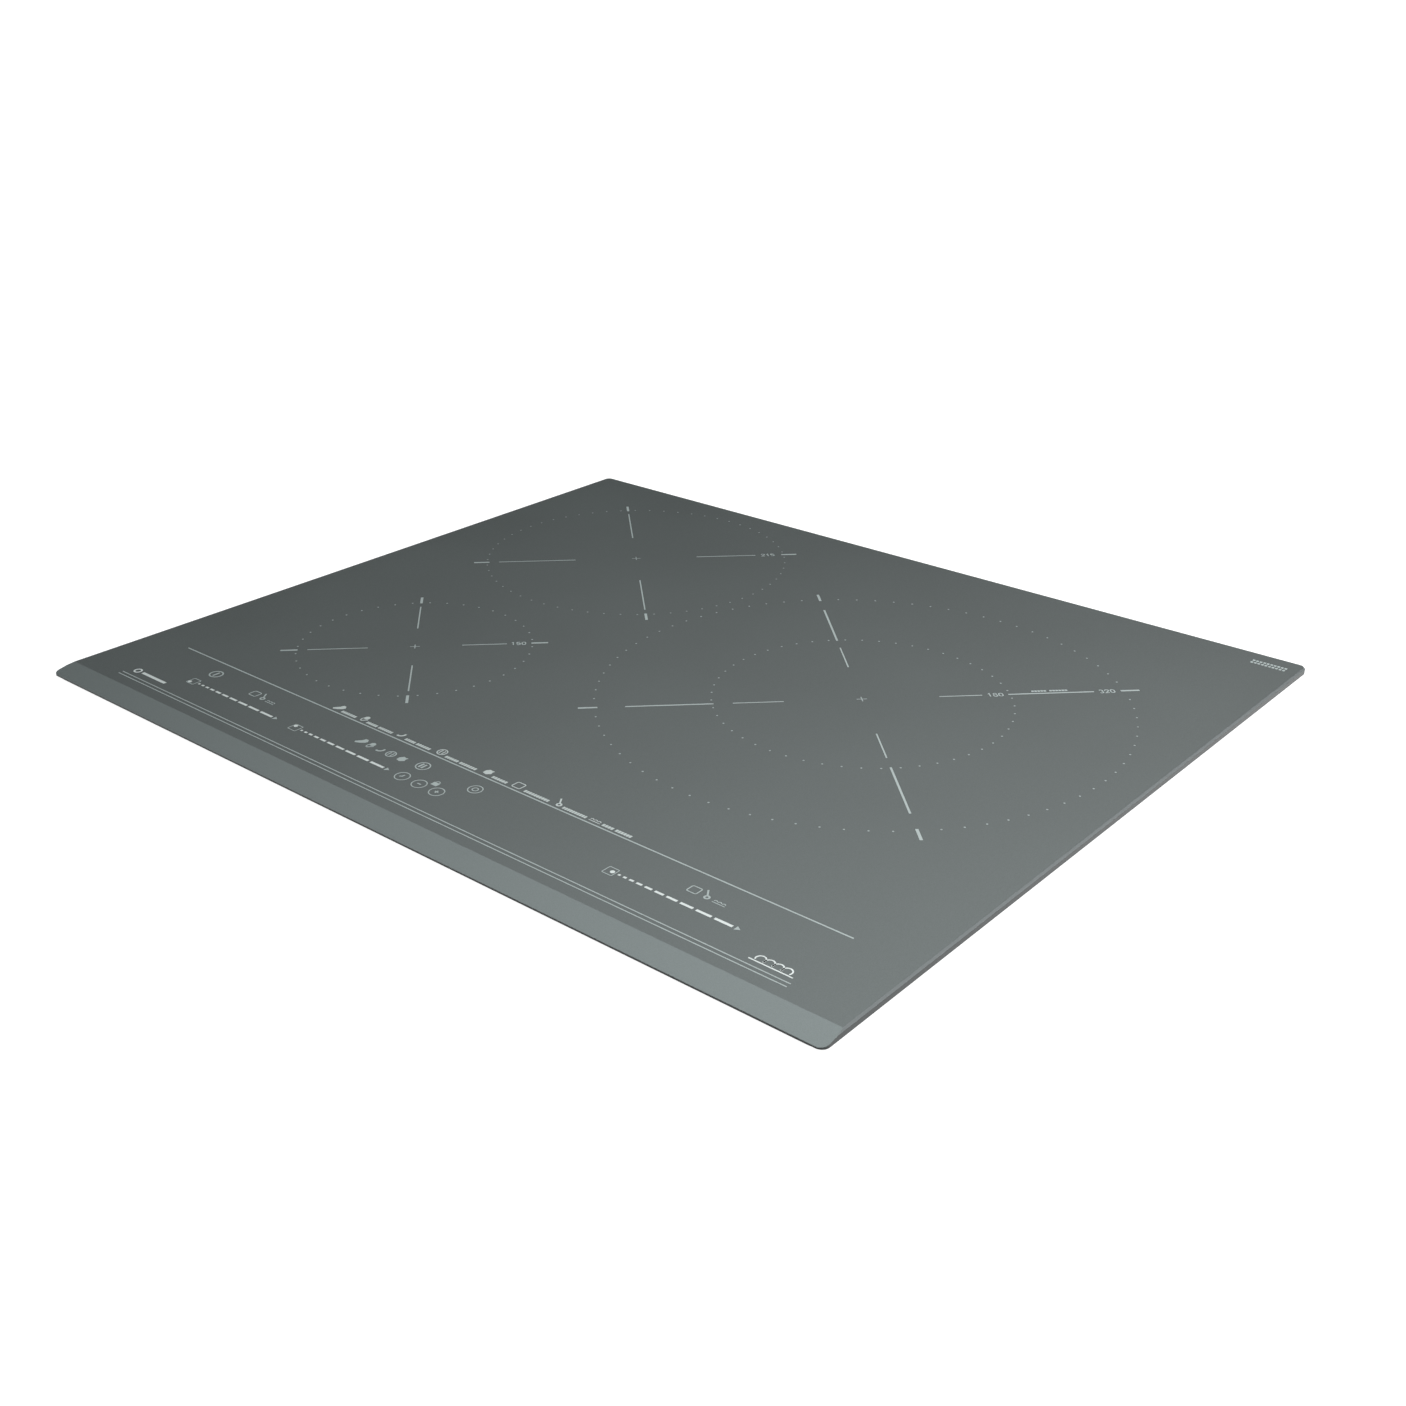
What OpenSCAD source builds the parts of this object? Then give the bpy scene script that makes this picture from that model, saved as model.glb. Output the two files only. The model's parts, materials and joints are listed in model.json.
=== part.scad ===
// Built-in induction cooktop with three zones, as an assembly of separate pieces.
// The origin is the centre of the worktop cut-out at the worktop's surface. The front faces -Y.

/* [Glass] */
// Width of the glass panel
glass_w = 590; // [586:1:610]
// Depth of the glass panel
glass_d = 512; // [508:1:530]
// Thickness of the glass panel
glass_t = 4; // [4:0.5:6]
// Radius of the panel's corners
glass_corner_r = 4.5; // [3:0.5:10]
// Width of the ground bevel on the front edge, seen from above
bevel_w = 15; // [8:1:18]
// Height that the front bevel drops
bevel_drop = 3; // [1:0.1:3.2]
// Width of the small chamfer on the side and back edges
arris_w = 1; // [0.4:0.1:1.5]

/* [Cooking zones] */
// Diameter of the front left zone
front_left_d = 150; // [140:1:160]
// Diameter of the rear left zone
rear_left_d = 215; // [200:1:220]
// Inner diameter of the dual zone
right_inner_d = 180; // [170:1:190]
// Outer diameter of the dual zone
right_outer_d = 320; // [300:1:322]

/* [Worktop] */
// Thickness of the foam seal when pressed
seal_t = 1.5; // [1.5:0.5:3]
// Width of the foam seal
seal_w = 6; // [4:0.5:7]
// Distance of the foam seal inside the glass panel's edge
seal_inset = 1.5; // [1:0.5:3]

/* [Housing] */
// Outer width of the base pan
pan_w = 552; // [550:1:554]
// Outer depth of the base pan
pan_d = 482; // [480:1:484]
// Depth of the base pan below the worktop
pan_depth = 48; // [48:1:56]
// Height of the side steps above the pan's bottom
step_h = 14; // [12:1:16]
// Width of the side steps
step_w = 16; // [15:1:17]
// Thickness of the sheet metal
sheet_t = 0.8; // [0.6:0.1:1]

/* [Ventilation] */
// Diameter of the blower wheels
wheel_d = 68; // [60:1:70]
// Number of blades on each wheel
blades = 28; // [18:1:32]
// Number of outlet slots in the front wall
outlet_slots = 26; // [10:1:30]

/* [Fastening] */
// Radius of the clamp screws
clamp_screw_r = 2.1; // [1.9:0.1:2.2]
// Reach of the clamp brackets from their screws
clamp_reach = 27; // [24:1:30]
// Radius of the cable gland's bore
gland_bore_r = 6.5; // [5:0.5:7]

/* [Hidden] */
$fn = 64;
// Small overlap that joins two shapes into one solid
eps = 0.01;
// How far a cutting shape runs past what it cuts
over = 1;

// Colours
glass_grey = [0.36, 0.38, 0.38];
foam_black = [0.08, 0.08, 0.08];
silicone_black = [0.15, 0.15, 0.16];
zinc = [0.66, 0.68, 0.7];
steel = [0.8, 0.8, 0.82];
alloy = [0.74, 0.75, 0.77];
copper = [0.72, 0.42, 0.22];
mica = [0.85, 0.8, 0.68];
ferrite = [0.16, 0.16, 0.17];
sleeve_red = [0.6, 0.1, 0.08];
cup_red = [0.75, 0.3, 0.2];
board_green = [0.1, 0.35, 0.18];
case_yellow = [0.75, 0.6, 0.1];
plastic_black = [0.13, 0.13, 0.14];
epoxy_black = [0.1, 0.1, 0.11];
wheel_grey = [0.25, 0.25, 0.27];
ribbon_grey = [0.7, 0.7, 0.72];
nylon_white = [0.88, 0.88, 0.85];

// The seal's outer corners
seal_corner_r = 8;

// Heights, counted from the worktop's surface
glass_z = seal_t;
mica_t = 0.5;
winding_t = 4.5;
carrier_t = 1.5;
ferrite_t = 4;
winding_z = glass_z - mica_t - winding_t;
carrier_z = winding_z - carrier_t;
ferrite_z = carrier_z - ferrite_t;
tray_top = -14;
pan_bottom = -pan_depth;
pan_floor = pan_bottom + sheet_t;
pan_rim = -1;
step_z = pan_bottom + step_h;
tub_half = pan_w / 2 - step_w;
pan_r = 8;
grille_slots = 11;
grille_slot_w = 3;
grille_pitch = 5.2;
outlet_slot_w = 3.6;
outlet_pitch = 14;
outlet_z0 = -40;
outlet_z1 = -20;

// Bond frame and silicone bead
bead_t = 1.2;
bead_w = 5.5;
flange_w = 7;
frame_gap = 0.2;
frame_leg = 12;
frame_r = 7;
frame_w = pan_w - 2 * sheet_t - 2 * frame_gap;
frame_d = pan_d - 2 * sheet_t - 2 * frame_gap;
frame_top = glass_z - bead_t;

// Places of the zone centres: [x, y]
front_left_at = [-150, -86];
rear_left_at = [-150, 127];
right_at = [112, 35];
zone_centres = [front_left_at, rear_left_at, right_at];
// A coil is this much smaller than the printed zone, on the radius
coil_inset = 8;
coil_bore_r = 18;
coil_step = 3;
coil_groove_w = 0.8;
coil_groove_d = 1;
carrier_hole_r = 4;
carrier_holes = 8;
ferrite_w = 14;
ferrite_bore_r = 22;
ferrite_turn_outer = 11.25;
cup_r = 8;
cup_flange_r = 11;
cup_flange_t = 1.2;
sensor_r = 4;
lead_r = 1.6;
lead_offset = 5;
// Coils as [centre, winding radius, angle of each lead]
lead_sets = [
  [front_left_at, front_left_d / 2 - coil_inset, [75, 88]],
  [rear_left_at, rear_left_d / 2 - coil_inset, [-100, -90]],
  [right_at, right_outer_d / 2 - coil_inset, [-78, -82, -86, -90]]
];
// Leaf springs under each coil: their angles, and their place as a share of the radius
spring_angles = [67.5, 202.5, 292.5];
spring_share = 0.66;
spring_t = 0.5;
spring_w = 8;

// Coil tray and its posts
tray_half_x = 258;
tray_half_y = 226;
post_r = 4;
post_hole_depth = 10;
tray_hole_r = 14;
screw_r = 1.75;
screw_head_r = 3.2;
screw_head_t = 2;
post_places = [
  [-250, -215], [-250, 20], [-250, 158], [250, -215], [250, 20], [250, 215], [0, -215], [0, 218]
];
side_screw_ys = [-200, 0, 200];
end_screw_xs = [-180, 180];
side_screw_z = -6;
side_screw_len = 5;
post_screw_len = 9;
screw_slot_w = 1;

// Power modules
board_t = 1.6;
board_lift = 4.2;
board_z = pan_floor + board_lift;
board_top = board_z + board_t;
module_x = 145;
module_y = -18;
module_w = 170;
module_d = 250;
tray_base_t = 2;
tray_wall_t = 1.5;
tray_margin = 4;
tray_h = 8;
boss_r = 4;
boss_inset = 8;
boss_places = [
  for (sx = [-1, 1], sy = [-1, 0, 1])
    [sx * (module_w / 2 - boss_inset), sy * (module_d / 2 - boss_inset)]
];
sink_x = -30;
sink_wall = 4;
sink_w = 40;
sink_h = 22;
sink_y0 = -70;
sink_y1 = 95;
fins = 6;
fin_t = 1.4;
device_ys = [-55, -27, 1, 29, 60];
device_t = 5;
device_half_w = 8;
device_z0 = 4;
device_z1 = 21;
device_hole_z = 16;
device_hole_r = 1.8;
pin_places = [-5, 0, 5];
pin_w = 1.2;
pin_x = 1.5;
capacitor_places = [[28, -60], [28, -26], [28, 8], [62, -60], [62, -26]];
capacitor_w = 28;
capacitor_d = 26;
capacitor_h = 20;
choke_at = [46, 70];
toroid_round = 1.5;

// Mains filter
filter_half_x = 40;
filter_y0 = 118;
filter_y1 = 210;
filter_foot_r = 3;
filter_foot_inset = 6;
filter_choke_y = 142;
filter_capacitor_xs = [-24, 0, 24];
filter_capacitor_half_w = 9;
filter_capacitor_y0 = 174;
filter_capacitor_y1 = 200;
filter_capacitor_h = 18;

// Blowers
blower_x = 96;
blower_y = 178;
scroll_r = 44;
scroll_wall = 1.5;
scroll_h = 28;
scroll_top = pan_floor + scroll_h;
outlet_len = 46;
outlet_w = 47;
wheel_r = wheel_d / 2;
wheel_low = pan_floor + 3;
wheel_high = scroll_top - 4;
wheel_ring_t = 1.2;
wheel_ring_w = 3.5;
blade_share = 0.74;
blade_turn = 28;
blade_t = 0.9;
hub_r = 14;
hub_wall = 1.5;
hub_low = wheel_low + 5;
motor_gap = 0.7;
motor_neck_r = 5;
shaft_r = 1.5;
shaft_gap = 0.05;
grille_r = 29;

// Touch control
touch_y = -201;
touch_w = 440;
touch_d = 42;
touch_board_z = -5;
touch_board_t = 1.2;
holder_z = -9;
holder_wall = 2;
holder_ledge = 6;
holder_floor_t = 1.5;
holder_leg_r = 4;
key_y = 7;
slider_y = -9;
key_spring_r = 5;
small_spring_r = 4.5;
spring_wall = 0.8;
slider_places = [[-208, -128], [-110, -30], [133, 213]];
slider_springs = 6;
slider_spring_inset = 12;
key_places = [-210, -21, 20];
low_key_places = [-21, -7, 7];

// Ribbon cable from a plug on the right power board up to the touch board
ribbon_half_w = 10;
ribbon_t = 0.6;
ribbon_y = -171.9;
ribbon_end_x = 84;
ribbon_z = board_top + 2.5;
ribbon_h = 6;
ribbon_slot_half = 12;
plug_y = -138;
plug_half_x = 6;
plug_half_y = 3;

// Terminal box
box_x = -201;
box_y0 = 175;
box_y1 = 237;
box_half_x = 46;
box_wall = 2;
box_top = -20;
box_ceiling = box_top - box_wall;
service_half_x = 42;
service_y0 = box_y0 + box_wall + 0.2;
service_y1 = box_y1 - 4;
cover_t = 2;
cover_gap = 0.4;
cover_low = pan_bottom + 0.3;
cover_top = cover_low + cover_t;
cover_arm_x = 31.5;
cover_arm_half = 2;
cover_pin_len = 6;
latch_half_x = 6;
latch_t = 1.5;
latch_h = 6;
hinge_y = 182.5;
hinge_z = -43.2;
hinge_pin_r = 1.2;
hinge_gap = 0.05;
ear_r = 2.2;
ear_x = 36;
ear_t = 4;
ear_h = 8;
ear_arm_z = 5;
gland_z = -34;
gland_r = 9;
gland_flange_r = 11.5;
gland_flange_t = 2;
gland_nut_t = 1.5;
gland_inner_y = 232;

// Terminal block, and the bar on two posts that holds the cable
block_half_x = 34;
block_y0 = 190;
block_y1 = 208;
block_h = 15;
poles = 5;
pole_pitch = 13;
pole_y = 195;
well_r = 2.6;
well_depth = 8;
entry_r = 2.4;
entry_z = -8;
entry_depth = 11;
cord_post_x = 14;
cord_post_y = 222;
cord_post_r = 3.5;
cord_screw_r = 1.2;
cord_screw_depth = 12;
cord_bar_z = -42.5;
cord_bar_t = 3;
cord_bar_half_x = 19;
cord_bar_half_y = 4;

// Clamp brackets
clamp_x = pan_w / 2 - step_w / 2;
clamp_y = 150;
clamp_t = 1.5;
clamp_half_w = 6;
clamp_gap = 0.3;
clamp_top = step_z - clamp_gap;
clamp_head_t = 2.8;
clamp_tip_drop = 4;

// ---------------------------------------------------------------- shared shapes

module rounded_outline(w, d, r) {
  square([w - 2 * r, d], center = true);
  square([w, d - 2 * r], center = true);
  for (sx = [-1, 1], sy = [-1, 1])
    translate([sx * (w / 2 - r), sy * (d / 2 - r)]) circle(r);
}

module slab(w, d, r, z0, z1) {
  translate([0, 0, z0]) linear_extrude(height = z1 - z0) rounded_outline(w, d, r);
}

module box_between(low, high) {
  translate(low) cube(high - low);
}

module disc(r, z0, z1) {
  translate([0, 0, z0]) cylinder(r = r, h = z1 - z0);
}

// Children moved to a place given as [x, y]
module at_place(place) {
  translate([place[0], place[1], 0]) children();
}

// A profile drawn in Y and Z, run along X over the given length, centred on X = 0
module along_x(length) {
  translate([-length / 2, 0, 0]) rotate([90, 0, 90]) linear_extrude(height = length) children();
}

// A profile drawn in X and Z, run along Y from y0 to y1
module along_y(y0, y1) {
  translate([0, y1, 0]) rotate([90, 0, 0]) linear_extrude(height = y1 - y0) children();
}

// ---------------------------------------------------------------- glass and seal

module front_bevel_cut() {
  y0 = -glass_d / 2;
  slope = bevel_drop / bevel_w;
  along_x(glass_w + 2 * over)
    polygon([
      [y0 + bevel_w, glass_t], [y0 + bevel_w, glass_t + over],
      [y0 - over, glass_t + over], [y0 - over, glass_t - bevel_drop - slope * over]
    ]);
}

module arris_profile() {
  polygon([[-arris_w, glass_t + eps], [over, glass_t + eps], [over, glass_t - arris_w - over]]);
}

// The chamfer round the sides and the back: straight runs, and a cone at each rear corner
module arris_cut() {
  r = glass_corner_r;
  x1 = glass_w / 2;
  y1 = glass_d / 2;
  for (side = [0, 1]) mirror([side, 0, 0]) {
    translate([x1, 0, 0]) along_y(-y1 - over, y1 - r) arris_profile();
    translate([x1 - r, y1 - r, 0])
      rotate_extrude(angle = 90) translate([r, 0]) arris_profile();
  }
  translate([0, y1, 0]) along_x(glass_w - 2 * r) arris_profile();
}

module glass_panel() {
  color(glass_grey)
    translate([0, 0, glass_z]) difference() {
      slab(glass_w, glass_d, glass_corner_r, 0, glass_t);
      front_bevel_cut();
      arris_cut();
    }
}

module ring_slab(w, d, r, wall, z0, z1) {
  difference() {
    slab(w, d, r, z0, z1);
    slab(w - 2 * wall, d - 2 * wall, r - wall / 2, z0 - over, z1 + over);
  }
}

module worktop_seal() {
  w = glass_w - 2 * seal_inset;
  d = glass_d - 2 * seal_inset;
  color(foam_black) ring_slab(w, d, seal_corner_r, seal_w, 0, seal_t);
}

// ---------------------------------------------------------------- housing

module bond_bead() {
  color(silicone_black) ring_slab(frame_w - 1, frame_d - 1, frame_r, bead_w, frame_top, glass_z);
}

module side_screw_cuts() {
  for (side = [-1, 1], y = side_screw_ys)
    translate([side * pan_w / 2, y, side_screw_z])
      rotate([0, 90, 0]) cylinder(r = screw_r, h = 6, center = true);
  for (side = [-1, 1], x = end_screw_xs)
    translate([x, side * pan_d / 2, side_screw_z])
      rotate([90, 0, 0]) cylinder(r = screw_r, h = 6, center = true);
}

module bond_frame() {
  inside_w = frame_w - 2 * sheet_t;
  inside_d = frame_d - 2 * sheet_t;
  color(zinc)
    difference() {
      slab(frame_w, frame_d, frame_r, frame_top - frame_leg, frame_top);
      slab(inside_w, inside_d, frame_r - sheet_t, -frame_leg, frame_top - sheet_t);
      slab(frame_w - 2 * flange_w, frame_d - 2 * flange_w, frame_r / 2, -frame_leg, frame_top + over);
      side_screw_cuts();
    }
}

module pan_hollow(inset) {
  slab(pan_w - 2 * inset, pan_d - 2 * inset, pan_r - inset / 2, step_z + inset, pan_rim + inset);
  slab(2 * tub_half - 2 * inset, pan_d - 2 * inset, pan_r - inset / 2,
    pan_bottom + inset, pan_rim + inset);
}

// A round field of slots under a blower
module grille_cut(x) {
  for (i = [0 : grille_slots - 1]) {
    off = (i - (grille_slots - 1) / 2) * grille_pitch;
    half = sqrt(grille_r * grille_r - off * off);
    box_between([x + off - grille_slot_w / 2, blower_y - half, pan_bottom - over],
      [x + off + grille_slot_w / 2, blower_y + half, pan_floor + over]);
  }
}

// A row of upright slots in the front wall
module outlet_cut() {
  y0 = -pan_d / 2;
  for (i = [0 : outlet_slots - 1]) {
    x = (i - (outlet_slots - 1) / 2) * outlet_pitch;
    box_between([x - outlet_slot_w / 2, y0 - over, outlet_z0],
      [x + outlet_slot_w / 2, y0 + sheet_t + over, outlet_z1]);
  }
}

module base_pan() {
  color(zinc)
    difference() {
      pan_hollow(0);
      pan_hollow(sheet_t);
      grille_cut(-blower_x);
      grille_cut(blower_x);
      outlet_cut();
      box_between([box_x - service_half_x, service_y0, pan_bottom - over],
        [box_x + service_half_x, service_y1, pan_floor + over]);
      translate([box_x, pan_d / 2, gland_z]) rotate([90, 0, 0])
        cylinder(r = gland_r, h = 4, center = true);
      for (sx = [-1, 1], sy = [-1, 1])
        at_place([sx * clamp_x, sy * clamp_y])
          disc(clamp_screw_r, step_z - over, step_z + sheet_t + over);
      side_screw_cuts();
    }
}

// One screw along +Z: its head's underside is at z = 0 and the shank points down
module screw(r, length, head_r, head_t) {
  slot_len = 1.2 * head_r;
  difference() {
    union() {
      translate([0, 0, -length]) cylinder(r = r, h = length);
      cylinder(r = head_r, h = head_t);
    }
    for (a = [0, 90]) rotate([0, 0, a])
      translate([-slot_len / 2, -screw_slot_w / 2, head_t / 2]) cube([slot_len, screw_slot_w, head_t]);
  }
}

module housing_screws() {
  color(steel) {
    for (side = [-1, 1], y = side_screw_ys)
      translate([side * pan_w / 2, y, side_screw_z]) rotate([0, side * 90, 0])
        screw(screw_r, side_screw_len, screw_head_r, screw_head_t);
    for (side = [-1, 1], x = end_screw_xs)
      translate([x, side * pan_d / 2, side_screw_z]) rotate([-side * 90, 0, 0])
        screw(screw_r, side_screw_len, screw_head_r, screw_head_t);
    for (p = post_places)
      translate([p[0], p[1], tray_top]) screw(screw_r, post_screw_len, screw_head_r, screw_head_t);
    for (sx = [-1, 1], sy = [-1, 1])
      translate([sx * clamp_x, sy * clamp_y, clamp_top - clamp_t - clamp_gap])
        rotate([180, 0, 0]) screw(clamp_screw_r, side_screw_len, 2 * clamp_screw_r, clamp_head_t);
  }
}

// ---------------------------------------------------------------- coils

// A round hole through the coil tray
module tray_hole(r) {
  disc(r, tray_top - sheet_t - over, tray_top + over);
}

module lead_holes() {
  for (s = lead_sets, a = s[2])
    at_place(s[0]) rotate([0, 0, a]) at_place([s[1] + lead_offset, 0]) tray_hole(lead_r + 0.6);
}

module coil_tray() {
  color(alloy)
    difference() {
      slab(2 * tray_half_x, 2 * tray_half_y, 6, tray_top - sheet_t, tray_top);
      for (c = zone_centres) at_place(c) tray_hole(tray_hole_r);
      for (p = post_places) at_place(p) tray_hole(screw_r);
      lead_holes();
      box_between([-ribbon_slot_half, ribbon_y - 2.1, tray_top - sheet_t - over],
        [ribbon_slot_half, ribbon_y + 1.9, tray_top + over]);
    }
}

module tray_posts() {
  top = tray_top - sheet_t;
  color(nylon_white)
    for (p = post_places) at_place(p) difference() {
      disc(post_r, pan_floor, top);
      disc(screw_r, top - post_hole_depth, top + over);
    }
}

// Bars of ferrite that point to the coil's centre, glued under the carrier
module ferrite_star(count, r0, r1, turn) {
  for (i = [0 : count - 1]) rotate([0, 0, turn + i * 360 / count])
    box_between([r0, -ferrite_w / 2, ferrite_z], [r1, ferrite_w / 2, carrier_z]);
}

// A round carrier plate with a raised collar round the opening for the sensor cup
module carrier(place, zone_r) {
  r = zone_r - coil_inset;
  turn = 360 / carrier_holes;
  at_place(place) difference() {
    union() {
      disc(r + 2, carrier_z, winding_z);
      disc(coil_bore_r - 1, carrier_z, winding_z + 2);
    }
    disc(cup_r, carrier_z - over, winding_z + 2 + over);
    for (i = [0 : carrier_holes - 1]) rotate([0, 0, (i + 0.5) * turn])
      at_place([(coil_bore_r + r) / 2, 0]) disc(carrier_hole_r, carrier_z - over, winding_z + over);
  }
}

// A flat spiral coil drawn as closed turns: a disc whose top is grooved between the turns
module winding(place, r0, r1) {
  turns = floor((r1 - r0) / coil_step);
  pitch = (r1 - r0) / turns;
  solid_t = winding_t - coil_groove_d;
  at_place(place) rotate_extrude() {
    translate([r0, winding_z]) square([r1 - r0, solid_t]);
    for (i = [0 : turns - 1])
      translate([r0 + i * pitch + coil_groove_w / 2, winding_z + solid_t - eps])
        square([pitch - coil_groove_w, coil_groove_d + eps]);
  }
}

module insulator(place, zone_r) {
  at_place(place) difference() {
    disc(zone_r - coil_inset + 1, glass_z - mica_t, glass_z);
    disc(cup_r + 2, glass_z - over, glass_z + over);
  }
}

module carrier_front_left() { color(alloy) carrier(front_left_at, front_left_d / 2); }
module carrier_rear_left() { color(alloy) carrier(rear_left_at, rear_left_d / 2); }
module carrier_right() { color(alloy) carrier(right_at, right_outer_d / 2); }

module winding_front_left() {
  color(copper) winding(front_left_at, coil_bore_r, front_left_d / 2 - coil_inset);
}
module winding_rear_left() {
  color(copper) winding(rear_left_at, coil_bore_r, rear_left_d / 2 - coil_inset);
}
module winding_right_inner() {
  color(copper) winding(right_at, coil_bore_r, right_inner_d / 2 - coil_inset);
}
module winding_right_outer() {
  color(copper)
    winding(right_at, right_inner_d / 2 + coil_inset, right_outer_d / 2 - coil_inset);
}

module ferrites_front_left() {
  color(ferrite) at_place(front_left_at)
    ferrite_star(8, ferrite_bore_r, front_left_d / 2 - coil_inset - 2, 0);
}
module ferrites_rear_left() {
  color(ferrite) at_place(rear_left_at)
    ferrite_star(8, ferrite_bore_r, rear_left_d / 2 - coil_inset - 2, 0);
}
module ferrites_right() {
  inner_r1 = right_inner_d / 2 - coil_inset;
  outer_r0 = right_inner_d / 2 + coil_inset;
  outer_r1 = right_outer_d / 2 - coil_inset - 2;
  color(ferrite) at_place(right_at) {
    ferrite_star(8, ferrite_bore_r, inner_r1, 0);
    ferrite_star(16, outer_r0, outer_r1, ferrite_turn_outer);
  }
}

module insulator_front_left() { color(mica) insulator(front_left_at, front_left_d / 2); }
module insulator_rear_left() { color(mica) insulator(rear_left_at, rear_left_d / 2); }
module insulator_right() { color(mica) insulator(right_at, right_outer_d / 2); }

module temperature_sensors() {
  color(steel) for (c = zone_centres) at_place(c) disc(sensor_r, carrier_z, glass_z);
}

module sensor_cups() {
  color(cup_red)
    for (c = zone_centres) at_place(c) difference() {
      union() {
        disc(cup_r, carrier_z, glass_z - 1);
        disc(cup_flange_r, carrier_z - cup_flange_t, carrier_z);
      }
      disc(sensor_r, carrier_z - cup_flange_t - over, glass_z);
    }
}

// A bowed strip of spring steel that stands on the coil tray and lifts a carrier
module leaf_spring() {
  t = spring_t;
  rise = carrier_z - tray_top;
  along_y(-spring_w / 2, spring_w / 2)
    polygon([
      [-13, 0], [-9, 0], [-4, rise - t], [4, rise - t], [9, 0], [13, 0],
      [13, t], [9.3, t], [4.3, rise], [-4.3, rise], [-9.3, t], [-13, t]
    ]);
}

module carrier_springs() {
  color(steel)
    for (s = lead_sets, a = spring_angles)
      at_place(s[0]) rotate([0, 0, a]) translate([s[1] * spring_share, 0, tray_top]) leaf_spring();
}

// Each lead rises from its board beside the carrier and turns in to the winding's edge
module coil_leads() {
  mid_z = winding_z + (winding_t - coil_groove_d) / 2;
  color(sleeve_red)
    for (s = lead_sets, a = s[2])
      at_place(s[0]) rotate([0, 0, a]) {
        translate([s[1] + lead_offset, 0, 0]) {
          disc(lead_r, board_top, mid_z);
          translate([0, 0, mid_z]) sphere(lead_r);
        }
        translate([s[1], 0, mid_z]) rotate([0, 90, 0]) cylinder(r = lead_r, h = lead_offset);
      }
}

// ---------------------------------------------------------------- power modules

// Everything on a power module is drawn for the right side and mirrored for the left
module on_side(side) {
  mirror([side < 0 ? 1 : 0, 0, 0]) translate([module_x, module_y, 0]) children();
}

module board_tray(side) {
  w = module_w + 2 * tray_margin;
  d = module_d + 2 * tray_margin;
  base_z = pan_floor + tray_base_t;
  on_side(side) {
    difference() {
      slab(w, d, 4, pan_floor, pan_floor + tray_h);
      slab(w - 2 * tray_wall_t, d - 2 * tray_wall_t, 3, base_z, pan_floor + tray_h + over);
    }
    for (p = boss_places) at_place(p) disc(boss_r, base_z - eps, board_z);
  }
}

module power_board(side) {
  on_side(side) difference() {
    slab(module_w, module_d, 2, board_z, board_top);
    for (p = boss_places) at_place(p) disc(screw_r, board_z - over, board_top + over);
  }
}

module heat_sink(side) {
  pitch = (sink_h - fin_t) / (fins - 1);
  on_side(side) translate([sink_x, 0, board_top]) along_y(sink_y0, sink_y1) {
    square([sink_wall, sink_h]);
    for (i = [0 : fins - 1]) translate([-sink_w + sink_wall, i * pitch]) square([sink_w, fin_t]);
  }
}

// Power transistors and the bridge rectifier, standing on the board against the heat sink
module transistors(side) {
  on_side(side)
    for (y = device_ys) translate([sink_x + sink_wall, y, board_top]) {
      difference() {
        box_between([0, -device_half_w, device_z0], [device_t, device_half_w, device_z1]);
        translate([-over, 0, device_hole_z]) rotate([0, 90, 0])
          cylinder(r = device_hole_r, h = device_t + 2 * over);
      }
      for (pin = pin_places)
        box_between([pin_x, pin - pin_w / 2, 0], [pin_x + pin_w, pin + pin_w / 2, device_z0]);
    }
}

module capacitors(side) {
  on_side(side) for (p = capacitor_places)
    at_place(p) slab(capacitor_w, capacitor_d, 2, board_top, board_top + capacitor_h);
}

// A wound ring with rounded edges that stands on z = 0
module toroid(r0, r1, h) {
  e = toroid_round;
  rotate_extrude() translate([r0, 0]) {
    translate([e, 0]) square([r1 - r0 - 2 * e, h]);
    translate([0, e]) square([r1 - r0, h - 2 * e]);
    for (x = [e, r1 - r0 - e], z = [e, h - e]) translate([x, z]) circle(e);
  }
}

module choke(side) {
  on_side(side) translate([choke_at[0], choke_at[1], board_top]) toroid(9, 24, 15);
}

module board_tray_left() { color(plastic_black) board_tray(-1); }
module board_tray_right() { color(plastic_black) board_tray(1); }
module power_board_left() { color(board_green) power_board(-1); }
module power_board_right() { color(board_green) power_board(1); }
module heat_sink_left() { color(alloy) heat_sink(-1); }
module heat_sink_right() { color(alloy) heat_sink(1); }
module transistors_left() { color(epoxy_black) transistors(-1); }
module transistors_right() { color(epoxy_black) transistors(1); }
module capacitors_left() { color(case_yellow) capacitors(-1); }
module capacitors_right() { color(case_yellow) capacitors(1); }
module choke_left() { color(copper) choke(-1); }
module choke_right() { color(copper) choke(1); }

// ---------------------------------------------------------------- mains filter

module filter_board() {
  foot_x = filter_half_x - filter_foot_inset;
  color(board_green) {
    box_between([-filter_half_x, filter_y0, board_z], [filter_half_x, filter_y1, board_top]);
    for (x = [-foot_x, foot_x], y = [filter_y0 + filter_foot_inset, filter_y1 - filter_foot_inset])
      at_place([x, y]) disc(filter_foot_r, pan_floor, board_z + eps);
  }
}

module filter_choke() {
  color(copper) translate([0, filter_choke_y, board_top]) toroid(7, 19, 18);
}

module filter_capacitors() {
  w = filter_capacitor_half_w;
  color(case_yellow) for (x = filter_capacitor_xs)
    box_between([x - w, filter_capacitor_y0, board_top],
      [x + w, filter_capacitor_y1, board_top + filter_capacitor_h]);
}

// ---------------------------------------------------------------- blowers

module at_blower(side) {
  translate([side * blower_x, blower_y, 0]) children();
}

module scroll_outline(inset, reach) {
  circle(scroll_r - inset);
  translate([-scroll_r + inset, -outlet_len - reach])
    square([outlet_w - 2 * inset, outlet_len + reach]);
}

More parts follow.
